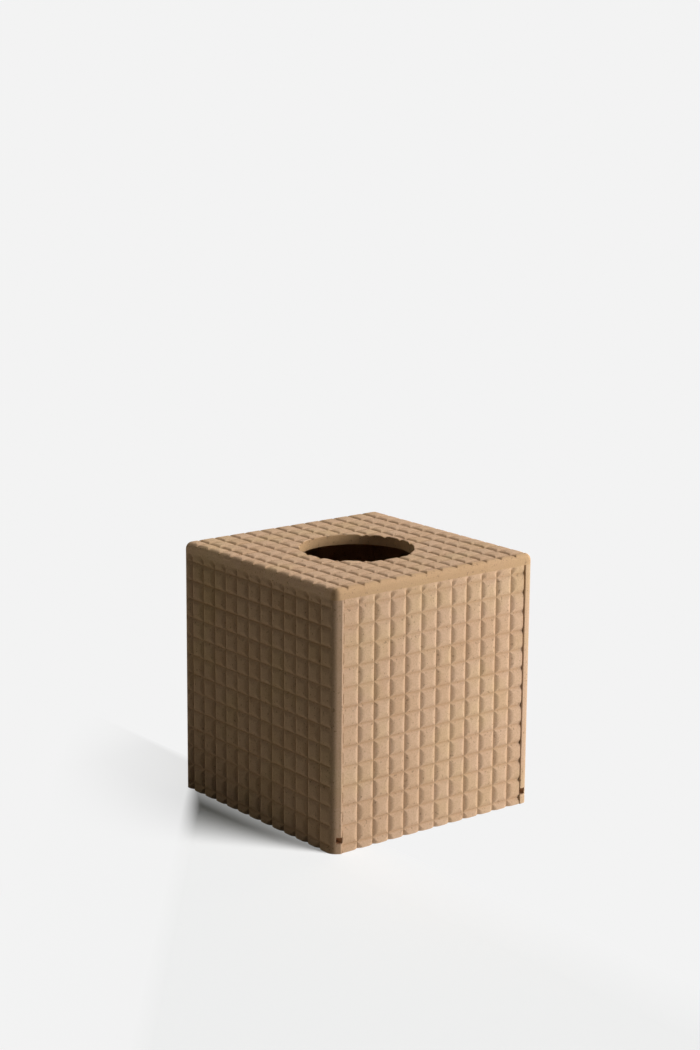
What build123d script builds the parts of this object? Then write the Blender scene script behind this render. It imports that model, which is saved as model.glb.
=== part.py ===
from build123d import *
import os

# A cube-shaped wooden cover for a box of tissues. Five boards, carved with crossing V-shaped grooves into
# rows of small square tiles, are glued into an open-bottomed box, and a thin base board slides in from behind.
# X runs across the front, Y runs to the back and Z is up. The origin is the middle of the foot.

# Driving dimensions in millimetres
cover_width = 130.0
cover_depth = 130.0
cover_height = 135.5
board_thickness = 5.5
outer_edge_radius = 3.7
opening_diameter = 60.0

# Carving
groove_width = 4.0
groove_depth = 1.4
column_pitch = 10.0
row_pitch = 10.16
first_row_below_top_board = 4.5
front_first_column = 10.2
side_first_column = 7.0
top_first_column_across = 8.0
top_first_column_deep = 10.0

# Seams of the front and back boards, which are set in between the side boards
end_board_inset = 0.4
left_seam = 0.1
right_seam = 0.5
arris = 0.4

# Base board and the grooves that it slides in
base_thickness = 3.0
base_groove_height = 3.4
base_groove_depth = 3.2
base_groove_above_foot = 5.2
base_side_clearance = 0.2
base_end_clearance = 0.3
back_board_lift = 0.3

# Overrun of cutting shapes past the faces that they cut
overrun = 5.0

wall_height = cover_height - board_thickness
inner_half_width = cover_width / 2 - board_thickness
end_board_width = 2 * inner_half_width - left_seam - right_seam
end_board_front = -cover_depth / 2 + end_board_inset
back_board_foot = base_groove_above_foot + base_groove_height + back_board_lift


def groove_places(length, first, pitch, rounded_end=0):
    """Distances along a board of the grooves that lie wholly on its length, short of its rounded ends."""
    places = []
    place = first
    while place + groove_width / 2 < length - rounded_end:
        if place - groove_width / 2 > rounded_end:
            places.append(place)
        place += pitch
    return places


def groove_cutters(places, length):
    """Upright bars of V-shaped section, side by side along X, that cut grooves in a face lying in the XZ plane."""
    cutters = []
    for place in places:
        left = place - groove_width / 2
        right = place + groove_width / 2
        outline = Polyline(
            (left, -overrun), (left, 0), (place, groove_depth), (right, 0), (right, -overrun), close=True
        )
        cutters.append(extrude(make_face(outline), amount=length))
    return cutters


def carved_board(width, height, column_places, row_places, row_margin=0):
    """Upright board with its carved face towards -Y and its lower left outer corner at the origin.

    The level grooves stop at the given margin from the two ends of the board.
    """
    blank = Box(width, board_thickness, height, align=Align.MIN)
    columns = groove_cutters(column_places, height)
    row_length = width - 2 * row_margin
    lay_along_x = Pos(row_margin + row_length, 0, 0) * Rot(0, -90, 0)
    rows = [lay_along_x * cutter for cutter in groove_cutters(row_places, row_length)]
    return blank - columns - rows


def cover_envelope():
    """Outer form of the whole cover, with its upright corners and its top edges rounded alike."""
    block = Box(cover_width, cover_depth, cover_height, align=(Align.CENTER, Align.CENTER, Align.MIN))
    upright_edges = block.edges().filter_by(Axis.Z)
    top_edges = block.faces().sort_by(Axis.Z)[-1].edges()
    return fillet(upright_edges + top_edges, outer_edge_radius)


def wall_rows(height_of_foot):
    """Heights of the level grooves of a wall above its own foot."""
    span = wall_height - height_of_foot
    from_top = groove_places(span, first_row_below_top_board, row_pitch)
    return sorted(span - place for place in from_top)


def end_board(height_of_foot):
    """Front or back wall, standing between the side walls at the front of the cover."""
    height = wall_height - height_of_foot
    columns = groove_places(end_board_width, front_first_column, column_pitch)
    board = carved_board(end_board_width, height, columns, wall_rows(height_of_foot))
    return Pos(left_seam - inner_half_width, end_board_front, height_of_foot) * board


def side_board():
    """Left side wall, carved outside between its rounded ends and grooved inside for the base."""
    columns = groove_places(cover_depth, side_first_column, column_pitch, outer_edge_radius)
    board = carved_board(cover_depth, wall_height, columns, wall_rows(0), outer_edge_radius)
    board = Pos(-cover_width / 2, cover_depth / 2, 0) * Rot(0, 0, -90) * board
    board = ease_inner_arrises(board)
    return board & cover_envelope() - base_groove()


def ease_inner_arrises(board):
    """The two upright edges of a side wall that stand beside the end walls are slightly eased."""
    inner_edges = board.edges().filter_by(Axis.Z).group_by(Axis.X)[-1]
    return chamfer(inner_edges, arris)


def base_groove():
    """Space of the groove inside the left wall that carries one edge of the base."""
    across = base_groove_depth + overrun
    section = Rectangle(across, base_groove_height, align=(Align.MIN, Align.MIN))
    start = Pos(-inner_half_width - base_groove_depth, cover_depth / 2 + overrun, base_groove_above_foot)
    return extrude(start * Rot(90, 0, 0) * section, amount=cover_depth + 2 * overrun)


def top_board():
    """Top board, carved, rounded along its edges and pierced by the opening for the tissues."""
    columns = groove_places(cover_width, top_first_column_across, column_pitch, outer_edge_radius)
    rows = groove_places(cover_depth, top_first_column_deep, column_pitch, outer_edge_radius)
    board = carved_board(cover_width, cover_depth, columns, rows)
    board = Pos(-cover_width / 2, -cover_depth / 2, cover_height) * Rot(-90, 0, 0) * board
    opening = Pos(0, 0, cover_height) * Cylinder(opening_diameter / 2, 2 * (board_thickness + overrun))
    return (board & cover_envelope()) - opening


def base_board():
    """Thin base, held by its two side edges."""
    front = end_board_front + board_thickness + base_end_clearance
    back = cover_depth / 2 - end_board_inset
    half_width = inner_half_width + base_groove_depth - base_side_clearance
    foot = base_groove_above_foot + (base_groove_height - base_thickness) / 2
    blank = Box(2 * half_width, back - front, base_thickness, align=(Align.CENTER, Align.MIN, Align.MIN))
    return Pos(0, front, foot) * blank


left_side_panel = side_board()
parts = {
    "top_panel": top_board(),
    "left_side_panel": left_side_panel,
    "right_side_panel": mirror(left_side_panel, about=Plane.YZ),
    "front_panel": end_board(0),
    "back_panel": Rot(0, 0, 180) * end_board(back_board_foot),
    "base_panel": base_board(),
}

os.makedirs("parts", exist_ok=True)
for name, part in parts.items():
    export_step(part, f"parts/{name}.step")
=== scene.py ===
from collections import namedtuple
import math
import bpy
import numpy as np
from mathutils import Matrix, Vector


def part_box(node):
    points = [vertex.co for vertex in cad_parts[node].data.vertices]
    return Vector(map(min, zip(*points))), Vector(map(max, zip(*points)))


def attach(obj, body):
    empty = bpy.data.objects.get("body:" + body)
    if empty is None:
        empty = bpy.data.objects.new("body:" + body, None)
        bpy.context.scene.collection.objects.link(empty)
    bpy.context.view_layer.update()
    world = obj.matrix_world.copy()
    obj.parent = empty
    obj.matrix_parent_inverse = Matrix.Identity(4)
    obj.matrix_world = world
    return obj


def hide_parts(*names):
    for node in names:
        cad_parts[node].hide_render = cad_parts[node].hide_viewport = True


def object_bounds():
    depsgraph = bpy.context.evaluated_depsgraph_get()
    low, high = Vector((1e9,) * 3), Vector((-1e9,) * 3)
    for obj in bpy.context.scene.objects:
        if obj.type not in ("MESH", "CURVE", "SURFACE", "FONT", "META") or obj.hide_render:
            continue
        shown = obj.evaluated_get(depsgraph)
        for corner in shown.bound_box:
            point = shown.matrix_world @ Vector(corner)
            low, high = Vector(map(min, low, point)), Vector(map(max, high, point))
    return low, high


# The looks of a carved wooden tissue box cover. Lengths are in millimetres, and become metres where a mesh is
# made. Each board is modelled lying against the plane y = 0: x runs along it, z up it, and y into the wood.
# Its carved face looks towards -y.
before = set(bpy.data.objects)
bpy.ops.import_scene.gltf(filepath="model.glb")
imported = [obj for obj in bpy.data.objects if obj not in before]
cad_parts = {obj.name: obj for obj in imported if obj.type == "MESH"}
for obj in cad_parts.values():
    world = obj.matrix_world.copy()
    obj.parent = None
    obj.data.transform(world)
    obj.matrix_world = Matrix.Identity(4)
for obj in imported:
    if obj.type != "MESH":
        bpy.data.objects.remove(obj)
cad_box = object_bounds()

# One metre in millimetres, and the decimal places that a length keeps
metre = 1000.0
length_decimals = 3

# Carving of the walls, as in the solids
groove_half_width = 2.0
groove_depth = 1.4
column_pitch = 10.0
row_pitch = 10.16
first_row_below_top_board = 4.5
front_first_column = 10.2
side_first_column = 7.0
outer_edge_radius = 3.7
arris = 0.4

# Carving of the top: its grooves are smaller, and its rows turn a little against its front edge
top_first_column_across = 8.7
top_first_row_deep = 7.1
top_column_size_share = 0.72
top_row_size_share = 0.85
top_row_slope = -0.027
top_row_slope_margin = 4.0

# Form of the grooves, and their small differences. The sides of a groove are straight near its bottom line,
# and curve over into the tiles on a stretch that reaches this far to either side of the shoulder.
shoulder_reach = 1.3
cusp_softness = 0.06
groove_wander = 0.08
groove_depth_spread = 0.2
tile_height_spread = 0.05
tile_edge_depth = groove_depth / 4

# Ends of the walls: the radius of their rounding, and the angle at which the end face leans back. The seam
# at the right of the front closes towards its foot, and the level grooves grow shallow just before it.
WallEnd = namedtuple("WallEnd", "radius slope")
rounded_end = WallEnd(outer_edge_radius, 0.0)
left_front_end = WallEnd(5.4, math.radians(30))
left_seam_end = WallEnd(0.6, 0.0)
right_seam_end = WallEnd(0.25, 0.0)
sloped_end_flat = 0.8
right_seam_closing = 0.46
right_seam_margin = 1.0

# Spacing of the mesh lines: close at a groove, wider on a tile and round an edge
offsets_from_groove = (0.0, 0.2, 0.7, 1.1, 1.5, 1.9, 2.4, 2.9, 3.4)
steps_on_tile = 2
steps_round_edge = 10
sharp_edge_angle = math.radians(28)

# Opening, base board and the grooves that it slides in
opening_radius = 30.0
opening_ease = 0.35
opening_steps = 192
base_groove_height = 3.4
base_groove_depth = 3.2
base_groove_above_foot = 5.2
base_edge_radius = 0.4
base_edge_steps = 3
base_sharp_edge_angle = math.radians(40)
overrun = 5.0

# Wood colours, as linear red, green and blue
tan_brown = (0.60, 0.395, 0.25, 1)
pale_tan = (0.66, 0.46, 0.325, 1)
yellow_tan = (0.64, 0.47, 0.25, 1)
# Dark brown of the speckles in the grain, and of the painted shade deep in the grooves
speckle_and_shade_brown = (0.40, 0.25, 0.135, 1)
speck_brown = (0.22, 0.13, 0.07, 1)
base_brown = (0.5, 0.34, 0.2, 1)
bare_brown = (0.495, 0.31, 0.155, 1)

# Noises in the wood: how fine they are, for each metre, and how detailed
Noise = namedtuple("Noise", "scale detail")
speckle_noise = Noise(scale=1400.0, detail=3.0)
speck_noise = Noise(scale=650.0, detail=1.0)
cloud_noise = Noise(scale=60.0, detail=4.0)
patch_noise = Noise(scale=35.0, detail=2.0)

# Layers of colour over the wood: the value at which a layer starts, the one at which it is full, and its
# share of the colour there
Layer = namedtuple("Layer", "start full share")
tile_layer = Layer(start=0.0, full=1.0, share=0.5)
cloud_layer = Layer(start=0.35, full=0.65, share=0.35)
patch_layer = Layer(start=0.5, full=0.68, share=0.35)
bare_layer = Layer(start=0.0, full=1.0, share=0.85)
speckle_layer = Layer(start=0.42, full=0.7, share=0.4)
speck_layer = Layer(start=0.66, full=0.74, share=0.5)
# Painted shade: darker brown deep in the grooves, by how deep a point is carved
groove_shade_layer = Layer(start=0.6, full=1.0, share=0.6)
base_cloud_layer = Layer(start=0.35, full=0.65, share=0.4)
base_speckle_layer = Layer(start=0.45, full=0.7, share=0.25)

# Browner bare wood along the front and back edges of the top board
bare_edge_width = 4.6
bare_edge_fade = 2.0
bare_edge_share = 0.72

# Gloss and fine relief of the wood
wood_roughness = 0.9
wood_gloss_level = 0.05
relief_share = 0.25
relief_height = 0.2

# Camera of the photograph, in degrees and millimetres. The image is 700 by 1050 pixels.
image_height = 1050.0
camera_azimuth = -38.521
camera_elevation = 12.672
camera_roll = 0.454
camera_distance = 1186.723
camera_shift_right = -2.537
camera_shift_up = 143.689
focal_length_pixels = 2220.639
sensor_height = 36.0

# Lights: their angle to the right of the front, their angle above the floor and their width, in degrees, and
# their strength. The near light is a square, with its distance and its width in millimetres.
key_light = {"azimuth": 36.0, "elevation": 1.0, "width": 34.0, "strength": 4.0}
near_light = {"azimuth": 42.0, "elevation": 4.0, "distance": 450.0, "width": 200.0, "strength": 0.88}
fill_light = {"azimuth": -158.0, "elevation": 1.0, "width": 36.0, "strength": 0.6}
top_light = {"azimuth": 100.0, "elevation": 38.0, "width": 30.0, "strength": 2.98}
sky_light = {"azimuth": 120.0, "elevation": 75.0, "width": 60.0, "strength": 0.42}
left_light = {"azimuth": -75.0, "elevation": 35.0, "width": 50.0, "strength": 0.13}
back_light = {"azimuth": 166.0, "elevation": 10.0, "width": 28.0, "strength": 1.8}
floor_light = {"azimuth": 24.0, "elevation": 50.0, "width": 23.0, "strength": 4.42}
shadow_light = {"azimuth": -70.0, "elevation": 60.0, "width": 60.0, "strength": 0.3}
white = (1, 1, 1)
shade_colour = (1.0, 0.95, 0.78)
shadow_colour = (0.9, 1.0, 0.97)
sky_strength = 0.01

# Background, as linear greys and millimetres. The floor fades into the backdrop far off.
backdrop_grey = 0.896
floor_colour_seen = (0.73, 0.73, 0.73, 1)
floor_colour_to_light = (0.172, 0.163, 0.134, 1)
floor_size = 40000.0
floor_fade_start = 400.0
floor_fade_end = 1200.0

# The shadow is strong beside the left wall, and pale from the back left corner of the cover outwards, as
# seen by the camera. On the floor to the right of the left wall it fades out too.
pale_shadow_share = 0.82
pale_shadow_start = -10.0
pale_shadow_full = -1.0
pale_shadow_end = 75.0
floor_even_start = -75.0
floor_even_end = -35.0


def board_box(node):
    """Lowest and highest corner of a solid, in millimetres."""
    low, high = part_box(node)
    return np.round(np.array(low) * metre, length_decimals), np.round(np.array(high) * metre, length_decimals)


def groove_places(length, first, pitch, rounded_end=0.0):
    """Distances along a board of the grooves that lie wholly on its length, short of its rounded ends."""
    places = np.arange(first, length, pitch)
    inside = (places - groove_half_width > rounded_end) & (places + groove_half_width < length - rounded_end)
    return places[inside]


class Carving:
    """The crossing grooves of one board and the small differences between its grooves and its tiles."""

    def __init__(self, columns, rows, seed, column_end=math.inf, row_start=-math.inf, row_end=math.inf,
                 column_size_share=1.0, row_size_share=1.0, row_slope=0.0, middle=0.0):
        chance = np.random.default_rng(seed)
        self.columns = columns + chance.uniform(-groove_wander, groove_wander, len(columns))
        self.rows = rows + chance.uniform(-groove_wander, groove_wander, len(rows))
        self.column_depths = groove_depth + chance.uniform(-groove_depth_spread, 0, len(columns))
        self.row_depths = groove_depth + chance.uniform(-groove_depth_spread, 0, len(rows))
        self.tile_chances = chance.uniform(0, 1, (len(columns) + 1, len(rows) + 1))
        self.column_end = column_end
        self.row_start = row_start
        self.row_end = row_end
        self.column_size_share = column_size_share
        self.row_size_share = row_size_share
        self.row_slope = row_slope
        self.middle = middle

    def groove_cut(self, across, past_end, centres, depths, size_share):
        """Depth of the deepest of some parallel grooves, which close past their ends like a cutter's tip."""
        apart = across[..., None] - centres
        distance = np.sqrt(apart**2 + past_end[..., None] ** 2 + cusp_softness**2) / size_share
        steepness = groove_depth / groove_half_width
        to_tile = np.clip(groove_half_width + shoulder_reach - distance, 0, 2 * shoulder_reach)
        curved = steepness * to_tile**2 / (4 * shoulder_reach)
        straight = steepness * np.clip(groove_half_width - shoulder_reach - distance, 0, None)
        return ((curved + straight) * depths / groove_depth).max(axis=-1) * size_share

    def row_place(self, along, up):
        """Height measured square to the rows, which may slope a little across the board."""
        return up - self.row_slope * (along - self.middle)

    def depth(self, along, up):
        """Depth of the carving below the face at each point."""
        past_column = np.clip(up - self.column_end, 0, None)
        past_row = np.clip(np.maximum(self.row_start - along, along - self.row_end), 0, None)
        level = self.row_place(along, up)
        column_cut = self.groove_cut(along, past_column, self.columns, self.column_depths,
                                     self.column_size_share)
        row_cut = self.groove_cut(level, past_row, self.rows, self.row_depths, self.row_size_share)
        return np.maximum(column_cut, row_cut)

    def tile_chance(self, along, up):
        """Number from 0 to 1 that is the same all over one tile."""
        across = np.searchsorted(self.columns, along)
        over = np.searchsorted(self.rows, self.row_place(along, up))
        return self.tile_chances[across, over]

    def surface(self, along, up):
        """Depth of the finished face at each point, with the tiles at slightly different heights."""
        cut = self.depth(along, up)
        tile_share = np.clip(1 - cut / tile_edge_depth, 0, 1)
        return cut + tile_share * tile_height_spread * self.tile_chance(along, up)


def stations(start, end, centres, size_share=1.0):
    """Places from start to end where a mesh line runs: closely spaced at grooves and evenly on tiles."""
    offsets = np.array(offsets_from_groove) * size_share
    reach = offsets[-1]
    places = [start, end]
    for centre in centres:
        places += list(centre - offsets) + list(centre + offsets)
    tile_starts = [start] + [centre + reach for centre in centres]
    tile_ends = [centre - reach for centre in centres] + [end]
    for tile_start, tile_end in zip(tile_starts, tile_ends):
        places += list(np.linspace(tile_start, tile_end, steps_on_tile + 1))
    return np.unique(np.round(np.clip(places, start, end), length_decimals))


def split_quads(points):
    """Two triangles for each cell of a grid of points, split so that the carving's creases stay crisp."""
    rows, columns = points.shape[:2]
    index = np.arange(rows * columns).reshape(rows, columns)
    first, second, third, fourth = index[:-1, :-1], index[1:, :-1], index[1:, 1:], index[:-1, 1:]
    depth = points[..., 1]
    first_diagonal = depth[:-1, :-1] + depth[1:, 1:]
    second_diagonal = depth[1:, :-1] + depth[:-1, 1:]
    use_first = (first_diagonal <= second_diagonal)[..., None]
    lower = np.where(use_first, np.stack([first, second, third], -1), np.stack([first, second, fourth], -1))
    upper = np.where(use_first, np.stack([first, third, fourth], -1), np.stack([second, third, fourth], -1))
    return index, np.concatenate([lower.reshape(-1, 3), upper.reshape(-1, 3)]).tolist()


def make_object(name, points, faces):
    """New object in the scene from points in millimetres."""
    mesh = bpy.data.meshes.new(name)
    mesh.from_pydata((np.asarray(points) / metre).tolist(), [], faces)
    mesh.update()
    piece = bpy.data.objects.new(name, mesh)
    bpy.context.scene.collection.objects.link(piece)
    return piece


def end_profile(thickness, inner_arris, end):
    """One end of a wall from its inner edge round to the face, as places along and depths.

    The end face may lean back, past a small flat beside its inner edge, and is rounded into the carved face.
    """
    angles = np.linspace(end.slope, math.pi / 2, steps_round_edge + 1)
    first_deep = end.radius * (1 - math.sin(end.slope))
    flat_end = thickness - inner_arris - sloped_end_flat
    lean = (flat_end - first_deep) * math.tan(end.slope)
    along = lean + end.radius * (math.cos(end.slope) - np.cos(angles))
    deep = end.radius * (1 - np.sin(angles))
    edge_along = [inner_arris, 0.0] if inner_arris else [0.0]
    edge_deep = [thickness, thickness - inner_arris] if inner_arris else [thickness]
    if end.slope > 0:
        edge_along.append(0.0)
        edge_deep.append(flat_end)
    return np.concatenate([edge_along, along]), np.concatenate([edge_deep, deep])


def wall_outline(length, thickness, centres, ends, inner_arris):
    """Plan of a wall from one inner edge round the carved face to the other, as places along and depths."""
    start_along, start_deep = end_profile(thickness, inner_arris, ends[0])
    end_along, end_deep = end_profile(thickness, inner_arris, ends[1])
    face = stations(start_along[-1], length - end_along[-1], centres)[1:-1]
    along = np.concatenate([start_along, face, length - end_along[::-1]])
    deep = np.concatenate([start_deep, np.zeros(len(face)), end_deep[::-1]])
    return along, deep


def carved_wall(name, length, thickness, height, carving, ends, inner_arris=0.0, foot_spread=0.0):
    """Closed wall: its plan drawn up over the height stations, with the carving cut in.

    At its foot the wall is a little longer than at its top, by the spread.
    """
    along, deep = wall_outline(length, thickness, carving.columns, ends, inner_arris)
    up = stations(0, height, carving.rows)
    grid_along, grid_up = np.meshgrid(along, up, indexing="ij")
    grid_deep = np.maximum(deep[:, None], carving.surface(grid_along, grid_up))
    grid_along = grid_along + foot_spread * grid_along / length * (1 - grid_up / height)
    points = np.stack([grid_along, grid_deep, grid_up], -1)
    index, faces = split_quads(points)
    faces.append(index[:, -1].tolist())
    faces.append(index[::-1, 0].tolist())
    faces.append(index[0].tolist() + index[-1, ::-1].tolist())
    return make_object(name, points.reshape(-1, 3), faces)


def rounded_span(length, centres, size_share):
    """Mesh lines across a board with rounded edges: flat places, lean, and which are at the foot."""
    lean = np.linspace(-math.pi / 2, 0, steps_round_edge + 1)[:-1]
    lean = np.concatenate([[-math.pi / 2], lean])
    face = stations(outer_edge_radius, length - outer_edge_radius, centres, size_share)
    place = np.concatenate([np.full(len(lean), face[0]), face, np.full(len(lean), face[-1])])
    leans = np.concatenate([lean, np.zeros(len(face)), -lean[::-1]])
    at_foot = np.zeros(len(place), bool)
    at_foot[[0, -1]] = True
    return place, leans, at_foot


def carved_top(name, width, depth, thickness, carving):
    """Closed top board with rounded edges and ball corners, over which the grooves run out."""
    place_along, lean_along, foot_along = rounded_span(width, carving.columns, carving.column_size_share)
    place_up, lean_up, foot_up = rounded_span(depth, carving.rows, carving.row_size_share)
    grid_lean_along, grid_lean_up = np.meshgrid(lean_along, lean_up, indexing="ij")
    # At a corner the larger lean sets how far down the ball a point lies, and their ratio how far round it
    larger = np.maximum(np.abs(grid_lean_along), np.abs(grid_lean_up))
    smaller = np.minimum(np.abs(grid_lean_along), np.abs(grid_lean_up))
    turn = math.pi / 4 * np.divide(smaller, larger, out=np.zeros_like(larger), where=larger > 0)
    along_leads = np.abs(grid_lean_along) >= np.abs(grid_lean_up)
    reach = outer_edge_radius * np.sin(larger)
    reach_along = reach * np.where(along_leads, np.cos(turn), np.sin(turn)) * np.sign(grid_lean_along)
    reach_up = reach * np.where(along_leads, np.sin(turn), np.cos(turn)) * np.sign(grid_lean_up)
    grid_along = place_along[:, None] + reach_along
    to_edge = np.minimum(place_up, depth - place_up) - outer_edge_radius
    slope_share = np.clip(to_edge / top_row_slope_margin, 0, 1)
    sloped = carving.row_slope * (place_along[:, None] - carving.middle) * slope_share
    grid_up = place_up[None, :] + sloped + reach_up
    round_deep = outer_edge_radius * (1 - np.cos(larger))
    grid_deep = np.maximum(round_deep, carving.surface(grid_along, grid_up))
    grid_deep[foot_along[:, None] | foot_up[None, :]] = thickness
    points = np.stack([grid_along, grid_deep, grid_up], -1)
    index, faces = split_quads(points)
    rim = [index[:-1, 0], index[-1, :-1], index[:0:-1, -1], index[0, :0:-1]]
    faces.append(np.concatenate(rim)[::-1].tolist())
    return make_object(name, points.reshape(-1, 3), faces)


def make_box(name, low, high):
    """Box between two corners, given in millimetres."""
    points = [(x, y, z) for x in (low[0], high[0]) for y in (low[1], high[1]) for z in (low[2], high[2])]
    faces = [(0, 1, 3, 2), (4, 6, 7, 5), (0, 4, 5, 1), (2, 3, 7, 6), (0, 2, 6, 4), (1, 5, 7, 3)]
    return make_object(name, points, faces)


def opening_cutter(centre, thickness):
    """Round plug for the opening, flared at the face so that the rim is slightly eased."""
    radii = [opening_radius + opening_ease + overrun, opening_radius, opening_radius]
    deeps = [-overrun, opening_ease, thickness + overrun]
    angles = np.linspace(0, 2 * math.pi, opening_steps, endpoint=False)
    points = []
    for radius, deep in zip(radii, deeps):
        for angle in angles:
            points.append((centre[0] + radius * math.cos(angle), deep, centre[1] + radius * math.sin(angle)))
    index = np.arange(len(points)).reshape(len(radii), opening_steps)
    faces = [index[0].tolist(), index[-1, ::-1].tolist()]
    for ring, next_ring in zip(index, index[1:]):
        for step in range(opening_steps):
            after = (step + 1) % opening_steps
            faces.append([int(ring[step]), int(next_ring[step]), int(next_ring[after]), int(ring[after])])
    return make_object("cutter", points, faces)


def cut_away(piece, cutter):
    """Cuts one closed mesh out of another for good."""
    cut = piece.modifiers.new("cut", "BOOLEAN")
    cut.operation = "DIFFERENCE"
    cut.solver = "MANIFOLD"
    cut.object = cutter
    shown = piece.evaluated_get(bpy.context.evaluated_depsgraph_get())
    piece.data = bpy.data.meshes.new_from_object(shown)
    piece.data.name = piece.name
    piece.data.materials.clear()
    piece.modifiers.clear()
    bpy.data.objects.remove(cutter)


def mesh_points(piece):
    """Points of a board before it is placed, in millimetres."""
    flat = np.empty(len(piece.data.vertices) * 3)
    piece.data.vertices.foreach_get("co", flat)
    return flat.reshape(-1, 3) * metre


def note(piece, name, values):
    """Stores a number at each point of a board, for its material."""
    attribute = piece.data.attributes.new(name, "FLOAT", "POINT")
    attribute.data.foreach_set("value", values)


def note_carving(piece, carving):
    """Notes at each point how deep it is carved, which sets the painted shade in the grooves, and which tile
    it is on.
    """
    along, deep, up = mesh_points(piece).T
    full_depth = groove_depth * min(carving.column_size_share, carving.row_size_share)
    carved = np.clip(carving.depth(along, up) / full_depth, 0, 1)
    # Points on the inner faces are not carved
    carved[deep > groove_depth + arris] = 0
    note(piece, "carved", carved)
    note(piece, "tile", carving.tile_chance(along, up))


def note_bare_wood(piece, width, depth):
    """Notes the browner wood of the top board: its front and back edges, and the wall of the opening."""
    along, deep, up = mesh_points(piece).T
    from_edge = np.minimum(up, depth - up)
    edge = bare_edge_share * np.clip((bare_edge_width - from_edge) / bare_edge_fade, 0, 1)
    from_middle = np.hypot(along - width / 2, up - depth / 2)
    opening_wall = (from_middle < opening_radius + opening_ease / 2) & (deep > opening_ease / 2)
    note(piece, "bare", np.maximum(edge, opening_wall))


def smooth_faces(piece, sharp_angle):
    """Smooth shading, apart from the edges that turn by more than an angle."""
    for polygon in piece.data.polygons:
        polygon.use_smooth = True
        polygon.material_index = 0
    piece.data.set_sharp_from_angle(angle=sharp_angle)


def finish_board(piece, node, material, matrix):
    """Shades a board, sets it in its place and lets it stand for its solid."""
    smooth_faces(piece, sharp_edge_angle)
    piece.data.transform(matrix)
    piece.data.materials.append(material)
    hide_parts(node)
    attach(piece, "cover")


def placing(x, y, z, turn, axis="Z"):
    """Matrix that turns a board by an angle in degrees and moves it to a place in millimetres."""
    place = Vector((x, y, z)) / metre
    return Matrix.Translation(place) @ Matrix.Rotation(math.radians(turn), 4, axis)


def wall_rows(wall_height, foot):
    """Heights of the level grooves of a wall above its own foot."""
    span = wall_height - foot
    return np.sort(span - groove_places(span, first_row_below_top_board, row_pitch))


def make_end_wall(name, node, material, seed, turn, foot_spread=0.0):
    """Front wall, or the back wall which is the same wall turned about and cut off above the base."""
    low, high = board_box(node)
    foot, top = low[2], high[2]
    width, thickness = high[0] - low[0], high[1] - low[1]
    columns = groove_places(width, front_first_column, column_pitch)
    carving = Carving(columns, wall_rows(top, foot), seed, top - foot - groove_half_width,
                      row_end=width - right_seam_margin)
    ends = (left_seam_end, right_seam_end)
    wall = carved_wall(name, width, thickness, top - foot, carving, ends, foot_spread=foot_spread)
    note_carving(wall, carving)
    corner = (low[0], low[1]) if turn == 0 else (high[0], high[1])
    finish_board(wall, node, material, placing(corner[0], corner[1], foot, turn))
    return wall


def make_side_wall(name, node, material, seed, turn, far_end=rounded_end):
    """Side wall with rounded ends, and the groove for the base along its inside."""
    low, high = board_box(node)
    thickness, depth, height = high - low
    columns = groove_places(depth, side_first_column, column_pitch, outer_edge_radius)
    # The right wall is the left one mirrored
    if turn > 0:
        columns = depth - columns[::-1]
    rows = wall_rows(height, 0)
    row_margin = outer_edge_radius + groove_half_width / 2
    carving = Carving(columns, rows, seed, height - groove_half_width, row_margin, depth - row_margin)
    wall = carved_wall(name, depth, thickness, height, carving, (rounded_end, far_end), arris)
    groove_low = (-overrun, thickness - base_groove_depth, base_groove_above_foot)
    groove_high = (depth + overrun, thickness + overrun, base_groove_above_foot + base_groove_height)
    cut_away(wall, make_box("cutter", groove_low, groove_high))
    note_carving(wall, carving)
    corner = (low[0], high[1]) if turn < 0 else (high[0], low[1])
    finish_board(wall, node, material, placing(corner[0], corner[1], 0, turn))
    return wall


def make_top(material, seed):
    """Top board with the round opening."""
    low, high = board_box("top_panel")
    width, depth, thickness = high - low
    columns = groove_places(width, top_first_column_across, column_pitch, outer_edge_radius)
    rows = groove_places(depth, top_first_row_deep, column_pitch, outer_edge_radius)
    carving = Carving(columns, rows, seed, column_size_share=top_column_size_share,
                      row_size_share=top_row_size_share, row_slope=top_row_slope, middle=width / 2)
    top = carved_top("carved_top", width, depth, thickness, carving)
    cut_away(top, opening_cutter((width / 2, depth / 2), thickness))
    note_carving(top, carving)
    note_bare_wood(top, width, depth)
    finish_board(top, "top_panel", material, placing(low[0], low[1], high[2], -90, "X"))
    return top


def make_base(material):
    """Thin plain board with eased edges, which slides in the grooves of the side walls."""
    low, high = board_box("base_panel")
    base = make_box("base_plank", low, high)
    ease = base.modifiers.new("ease", "BEVEL")
    ease.width = base_edge_radius / metre
    ease.segments = base_edge_steps
    shown = base.evaluated_get(bpy.context.evaluated_depsgraph_get())
    base.data = bpy.data.meshes.new_from_object(shown)
    base.modifiers.clear()
    smooth_faces(base, base_sharp_edge_angle)
    base.data.materials.append(material)
    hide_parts("base_panel")
    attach(base, "base")
    return base


def new_material(name):
    """Empty node material and its principled shader."""
    material = bpy.data.materials.new(name)
    material.use_nodes = True
    shader = material.node_tree.nodes["Principled BSDF"]
    return material, material.node_tree, shader


def fill_socket(tree, socket, value):
    """Sets a socket to a number or colour, or links it where the value is another node's output."""
    if isinstance(value, bpy.types.NodeSocket):
        tree.links.new(value, socket)
    else:
        socket.default_value = value


def add_node(tree, kind, **values):
    """New node with some inputs set by name, or linked where the value is another node's output."""
    node = tree.nodes.new(kind)
    for name, value in values.items():
        fill_socket(tree, node.inputs[name], value)
    return node


def mixed_colour(tree, share, first, second):
    """Colour between two others by a share."""
    mix = tree.nodes.new("ShaderNodeMix")
    mix.data_type = "RGBA"
    factor = mix.inputs[0]
    colours = [socket for socket in mix.inputs if socket.type == "RGBA"]
    for socket, value in ((factor, share), (colours[0], first), (colours[1], second)):
        fill_socket(tree, socket, value)
    return next(socket for socket in mix.outputs if socket.type == "RGBA")


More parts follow.
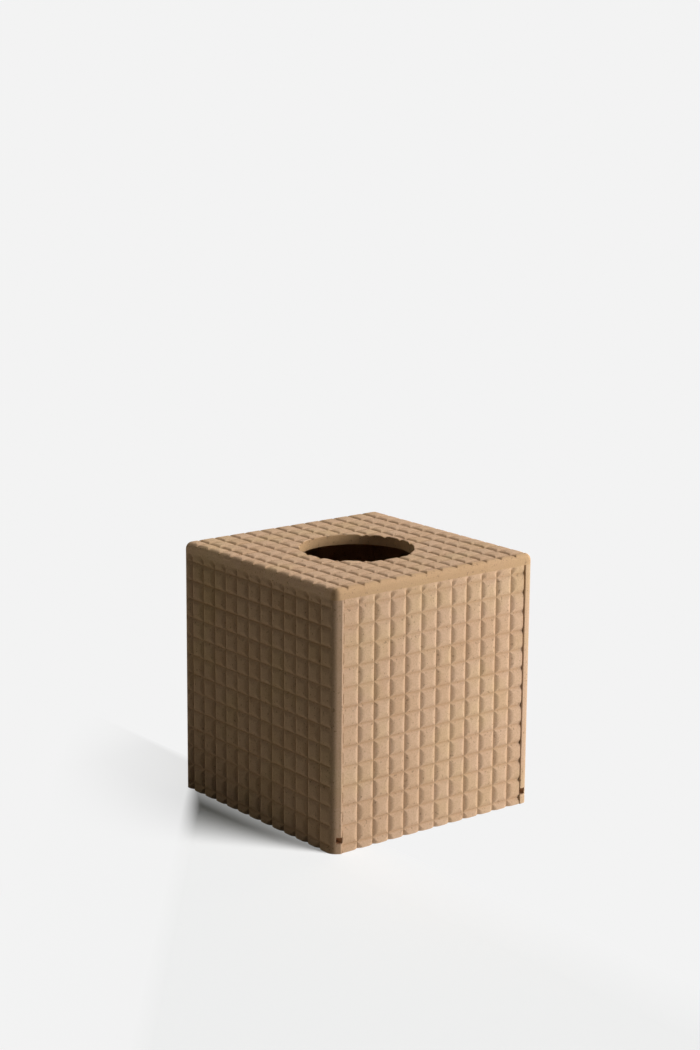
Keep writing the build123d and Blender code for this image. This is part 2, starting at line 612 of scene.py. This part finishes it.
def scaled(tree, value, low, high, to_low, to_high):
    """Value stretched from one range to another and kept inside it."""
    ranged = tree.nodes.new("ShaderNodeMapRange")
    tree.links.new(value, ranged.inputs["Value"])
    for name, number in (("From Min", low), ("From Max", high), ("To Min", to_low), ("To Max", to_high)):
        ranged.inputs[name].default_value = number
    return ranged.outputs["Result"]


def combined(tree, operation, first, second):
    """Sum, product, larger or the like of two values."""
    result = tree.nodes.new("ShaderNodeMath")
    result.operation = operation
    for socket, value in zip(result.inputs, (first, second)):
        fill_socket(tree, socket, value)
    return result.outputs[0]


def noise_value(tree, place, noise):
    """Value of a noise at each place."""
    node = add_node(tree, "ShaderNodeTexNoise", Vector=place, Scale=noise.scale, Detail=noise.detail)
    return node.outputs["Fac"]


def noted_value(tree, name):
    """Value that was noted at the points of a board, or 0 where there is none."""
    attribute = tree.nodes.new("ShaderNodeAttribute")
    attribute.attribute_name = name
    return attribute.outputs["Fac"]


def coated(tree, tone, layer, value, colour):
    """Tone with a layer of another colour over it where a value is high."""
    share = scaled(tree, value, layer.start, layer.full, 0, layer.share)
    return mixed_colour(tree, share, tone, colour)


def finish_wood(tree, shader, tone, speckle):
    """Matt finish with a fine relief."""
    tree.links.new(tone, shader.inputs["Base Color"])
    shader.inputs["Roughness"].default_value = wood_roughness
    shader.inputs["Specular IOR Level"].default_value = wood_gloss_level
    relief = add_node(tree, "ShaderNodeBump", Height=speckle, Strength=relief_share,
                      Distance=relief_height / metre)
    tree.links.new(relief.outputs["Normal"], shader.inputs["Normal"])


def carved_wood():
    """Fine-grained tan board, paler and yellower in places and browner where it is bare, with painted shade
    deep in the grooves.
    """
    material, tree, shader = new_material("carved_wood")
    place = tree.nodes.new("ShaderNodeTexCoord").outputs["Object"]
    speckle = noise_value(tree, place, speckle_noise)
    tone = coated(tree, tan_brown, tile_layer, noted_value(tree, "tile"), pale_tan)
    tone = coated(tree, tone, cloud_layer, noise_value(tree, place, cloud_noise), pale_tan)
    tone = coated(tree, tone, patch_layer, noise_value(tree, place, patch_noise), yellow_tan)
    tone = coated(tree, tone, bare_layer, noted_value(tree, "bare"), bare_brown)
    tone = coated(tree, tone, speckle_layer, speckle, speckle_and_shade_brown)
    tone = coated(tree, tone, speck_layer, noise_value(tree, place, speck_noise), speck_brown)
    # Painted shade: browner deep in the grooves, by how deep each point is carved
    tone = coated(tree, tone, groove_shade_layer, noted_value(tree, "carved"), speckle_and_shade_brown)
    finish_wood(tree, shader, tone, speckle)
    return material


def base_wood():
    """Plain fine-grained board of the base."""
    material, tree, shader = new_material("base_wood")
    place = tree.nodes.new("ShaderNodeTexCoord").outputs["Object"]
    speckle = noise_value(tree, place, speckle_noise)
    tone = coated(tree, base_brown, base_cloud_layer, noise_value(tree, place, cloud_noise), tan_brown)
    tone = coated(tree, tone, base_speckle_layer, speckle, speckle_and_shade_brown)
    finish_wood(tree, shader, tone, speckle)
    return material


def make_camera():
    """Camera at the photograph's viewpoint."""
    azimuth = math.radians(camera_azimuth)
    elevation = math.radians(camera_elevation)
    roll = math.radians(camera_roll)
    level = Vector((math.sin(azimuth), -math.cos(azimuth), 0))
    back = level * math.cos(elevation) + Vector((0, 0, math.sin(elevation)))
    level_right = Vector((math.cos(azimuth), math.sin(azimuth), 0))
    level_up = back.cross(level_right)
    right = level_right * math.cos(roll) + level_up * math.sin(roll)
    up = level_up * math.cos(roll) - level_right * math.sin(roll)
    place = back * camera_distance + right * camera_shift_right + up * camera_shift_up
    data = bpy.data.cameras.new("camera")
    data.sensor_width = sensor_height
    data.lens = sensor_height * focal_length_pixels / image_height
    camera = bpy.data.objects.new("camera", data)
    turn = Matrix((right, up, back)).transposed().to_4x4()
    camera.matrix_world = Matrix.Translation(place / metre) @ turn
    bpy.context.scene.collection.objects.link(camera)
    bpy.context.scene.camera = camera


def direction_to(azimuth, elevation):
    """Unit vector at an angle to the right of the front and an angle above the floor, both in degrees."""
    turn = math.radians(azimuth)
    rise = math.radians(elevation)
    return Vector((math.sin(turn) * math.cos(rise), -math.cos(turn) * math.cos(rise), math.sin(rise)))


def make_light(name, light, lit_things, colour=white):
    """Distant light that falls on the objects of one collection only."""
    data = bpy.data.lights.new(name, "SUN")
    data.color = colour
    data.energy = light["strength"]
    data.angle = math.radians(light["width"])
    lamp = bpy.data.objects.new(name, data)
    towards = direction_to(light["azimuth"], light["elevation"])
    lamp.rotation_euler = towards.to_track_quat("Z", "Y").to_euler()
    lamp.light_linking.receiver_collection = lit_things
    bpy.context.scene.collection.objects.link(lamp)


def make_near_light(name, light, lit_things):
    """Square light close by, so that what is nearer to it is brighter."""
    data = bpy.data.lights.new(name, "AREA")
    data.energy = light["strength"]
    data.size = light["width"] / metre
    lamp = bpy.data.objects.new(name, data)
    towards = direction_to(light["azimuth"], light["elevation"])
    middle = Vector((0, 0, (cad_box[1][2] + cad_box[0][2]) / 2))
    lamp.location = middle + towards * light["distance"] / metre
    lamp.rotation_euler = towards.to_track_quat("Z", "Y").to_euler()
    lamp.light_linking.receiver_collection = lit_things
    bpy.context.scene.collection.objects.link(lamp)


def lit_collection(name, things):
    """Collection of the objects that some lights fall on."""
    collection = bpy.data.collections.new(name)
    for thing in things:
        collection.objects.link(thing)
    return collection


def seen_directly(tree):
    """1 for rays from the camera, straight or by a mirror or glass, and 0 for the light between surfaces."""
    path = tree.nodes.new("ShaderNodeLightPath")
    seen = combined(tree, "MAXIMUM", path.outputs["Is Camera Ray"], path.outputs["Is Glossy Ray"])
    return combined(tree, "MAXIMUM", seen, path.outputs["Is Transmission Ray"])


def make_world():
    """Pale backdrop for the camera and a dim even light for the object."""
    world = bpy.data.worlds.new("world")
    bpy.context.scene.world = world
    world.use_nodes = True
    tree = world.node_tree
    sky = tree.nodes["Background"]
    sky.inputs["Color"].default_value = (*white, 1)
    strength = scaled(tree, seen_directly(tree), 0, 1, sky_strength, backdrop_grey)
    tree.links.new(strength, sky.inputs["Strength"])


def pale_shadow(tree, place):
    """How far the shadow has faded at the left: in a step at the back left corner, then little by little."""
    low, high = board_box("left_side_panel")
    azimuth = math.radians(camera_azimuth)
    sideways = Vector((-math.cos(azimuth), -math.sin(azimuth), 0))
    corner_offset = sideways.dot(Vector((low[0], high[1], 0)))
    across = tree.nodes.new("ShaderNodeVectorMath")
    across.operation = "DOT_PRODUCT"
    tree.links.new(place, across.inputs[0])
    across.inputs[1].default_value = sideways
    steps = (pale_shadow_start, pale_shadow_full, pale_shadow_end)
    start, full, end = [(corner_offset + step) / metre for step in steps]
    step_up = scaled(tree, across.outputs["Value"], start, full, 0, pale_shadow_share)
    drift = scaled(tree, across.outputs["Value"], full, end, 0, 1 - pale_shadow_share)
    return combined(tree, "ADD", step_up, drift)


def shadow_fade(tree):
    """How far the floor has faded into the backdrop: far off, past the back left corner, and to the right."""
    place = tree.nodes.new("ShaderNodeTexCoord").outputs["Object"]
    distance = tree.nodes.new("ShaderNodeVectorMath")
    distance.operation = "LENGTH"
    tree.links.new(place, distance.inputs[0])
    far = scaled(tree, distance.outputs["Value"], floor_fade_start / metre, floor_fade_end / metre, 0, 1)
    rightward = add_node(tree, "ShaderNodeSeparateXYZ", Vector=place).outputs["X"]
    even = scaled(tree, rightward, floor_even_start / metre, floor_even_end / metre, 0, 1)
    return combined(tree, "MAXIMUM", even, combined(tree, "MAXIMUM", far, pale_shadow(tree, place)))


def make_floor():
    """Pale floor that keeps the shadow and fades into the backdrop far off."""
    half = floor_size / 2
    floor = make_object("floor", [(-half, -half, 0), (half, -half, 0), (half, half, 0), (-half, half, 0)],
                        [(0, 1, 2, 3)])
    material, tree, shader = new_material("floor")
    tree.nodes.remove(shader)
    seen = seen_directly(tree)
    matt = tree.nodes.new("ShaderNodeBsdfDiffuse")
    tree.links.new(mixed_colour(tree, seen, floor_colour_to_light, floor_colour_seen), matt.inputs["Color"])
    glow = tree.nodes.new("ShaderNodeEmission")
    glow.inputs["Color"].default_value = (backdrop_grey, backdrop_grey, backdrop_grey, 1)
    mix = tree.nodes.new("ShaderNodeMixShader")
    tree.links.new(combined(tree, "MULTIPLY", shadow_fade(tree), seen), mix.inputs[0])
    tree.links.new(matt.outputs[0], mix.inputs[1])
    tree.links.new(glow.outputs[0], mix.inputs[2])
    tree.links.new(mix.outputs[0], tree.nodes["Material Output"].inputs["Surface"])
    floor.data.materials.append(material)
    return floor


def light_scene(top, walls, base, floor):
    """Lights for all the boards, for the top and the base, for the walls and the base, and for the floor."""
    boards = lit_collection("boards", [top, *walls, base])
    lit_from_above = lit_collection("lit_from_above", [top, base])
    lit_from_behind = lit_collection("lit_from_behind", [*walls, base])
    floor_only = lit_collection("floor_only", [floor])
    make_light("key", key_light, boards)
    make_near_light("near", near_light, boards)
    make_light("fill", fill_light, boards, shade_colour)
    make_light("top_light", top_light, lit_from_above)
    make_light("sky_light", sky_light, lit_from_above, shade_colour)
    make_light("left_light", left_light, lit_from_above)
    make_light("back_light", back_light, lit_from_behind)
    make_light("floor_light", floor_light, floor_only)
    make_light("shadow_light", shadow_light, floor_only, shadow_colour)


wood = carved_wood()
top = make_top(wood, seed=1)
front = make_end_wall("carved_front", "front_panel", wood, seed=2, turn=0, foot_spread=right_seam_closing)
back = make_end_wall("carved_back", "back_panel", wood, seed=3, turn=180)
left = make_side_wall("carved_left_side", "left_side_panel", wood, seed=4, turn=-90, far_end=left_front_end)
right = make_side_wall("carved_right_side", "right_side_panel", wood, seed=5, turn=90)
base = make_base(base_wood())

make_camera()
make_world()
floor = make_floor()
light_scene(top, [front, back, left, right], base, floor)
bpy.context.scene.view_settings.view_transform = "Standard"
